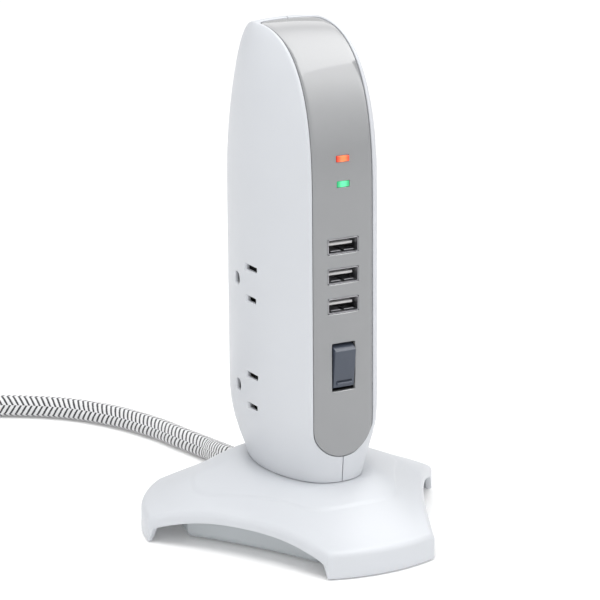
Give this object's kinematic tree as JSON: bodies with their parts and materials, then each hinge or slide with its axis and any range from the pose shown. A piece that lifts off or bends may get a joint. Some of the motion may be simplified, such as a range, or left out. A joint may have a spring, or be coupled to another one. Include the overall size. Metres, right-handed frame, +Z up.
{
  "type": "tower power strip",
  "caption": "Upright surge-protected power strip with side outlets, charging ports, lamps and a rocker switch, on a domed three-footed base with a braided lead.",
  "frame": {"origin": "on the floor, under the middle of the footprint of the tower and base, without the lead", "axes": "+Z up, -Y out of the front panel, -X the left outlet side"},
  "size_m": [0.2703, 0.2827, 0.2064],
  "materials": {
    "white_housing": "fine satin moulding",
    "grey_tub": "satin moulding",
    "gloss_panel": "high gloss",
    "red_lens": "clear tinted",
    "green_lens": "clear tinted",
    "slate_button": "satin",
    "black_nylon": "as moulded",
    "cream_nylon": "as moulded",
    "port_steel": "plated sheet",
    "zinc_steel": "zinc plated",
    "brass_contact": "stamped",
    "circuit_board": "solder mask",
    "varistor_coat": "dipped epoxy",
    "yellow_film": "moulded case",
    "black_rubber": "anti-slip",
    "relief_rubber": "soft moulding",
    "plug_moulding": "soft moulding",
    "braided_jacket": "braided, white with dark chevrons"
  },
  "bodies": {
    "body": {"ballast_plate": "zinc_steel", "base_skirt": "white_housing", "base_tub": "grey_tub", "charger_transformer": "yellow_film", "control_board": "circuit_board", "filter_capacitor": "yellow_film", "front_panel": "gloss_panel", "green_lamp": "cream_nylon", "green_lens": "green_lens", "housing_screw_1": "zinc_steel", "housing_screw_2": "zinc_steel", "housing_screw_3": "zinc_steel", "left_ground_strip": "brass_contact", "left_hot_strip": "brass_contact", "left_housing": "white_housing", "left_neutral_strip": "brass_contact", "left_outlet_carrier": "black_nylon", "mains_lead": "braided_jacket", "mains_lead_coil": "braided_jacket", "mains_lead_end": "braided_jacket", "plug_blade_hot": "brass_contact", "plug_blade_neutral": "brass_contact", "plug_body": "plug_moulding", "plug_ground_pin": "brass_contact", "red_lamp": "cream_nylon", "red_lens": "red_lens", "right_ground_strip": "brass_contact", "right_hot_strip": "brass_contact", "right_housing": "white_housing", "right_neutral_strip": "brass_contact", "right_outlet_carrier": "black_nylon", "rocker_frame": "black_nylon", "rubber_pad_1": "black_rubber", "rubber_pad_2": "black_rubber", "rubber_pad_3": "black_rubber", "strain_relief": "relief_rubber", "surge_board": "circuit_board", "switch_tab_lamp": "brass_contact", "switch_tab_line": "brass_contact", "switch_tab_load": "brass_contact", "thermal_fuse": "cream_nylon", "tower_screw_1": "zinc_steel", "tower_screw_2": "zinc_steel", "tower_screw_3": "zinc_steel", "tower_screw_4": "zinc_steel", "tub_screw_1": "zinc_steel", "tub_screw_2": "zinc_steel", "tub_screw_3": "zinc_steel", "usb_shell_1": "port_steel", "usb_shell_2": "port_steel", "usb_shell_3": "port_steel", "usb_tongue_1": "cream_nylon", "usb_tongue_2": "cream_nylon", "usb_tongue_3": "cream_nylon", "varistor_1": "varistor_coat", "varistor_2": "varistor_coat", "varistor_3": "varistor_coat"},
    "rocker": {"rocker_button": "slate_button"}
  },
  "joints": [
    {"name": "rocker_tilt", "type": "hinge", "parent": "body", "child": "rocker", "pos_m": [0, -0.02038, 0.075], "axis": [-1, 0, 0], "range_deg": [0, 15]}
  ]
}
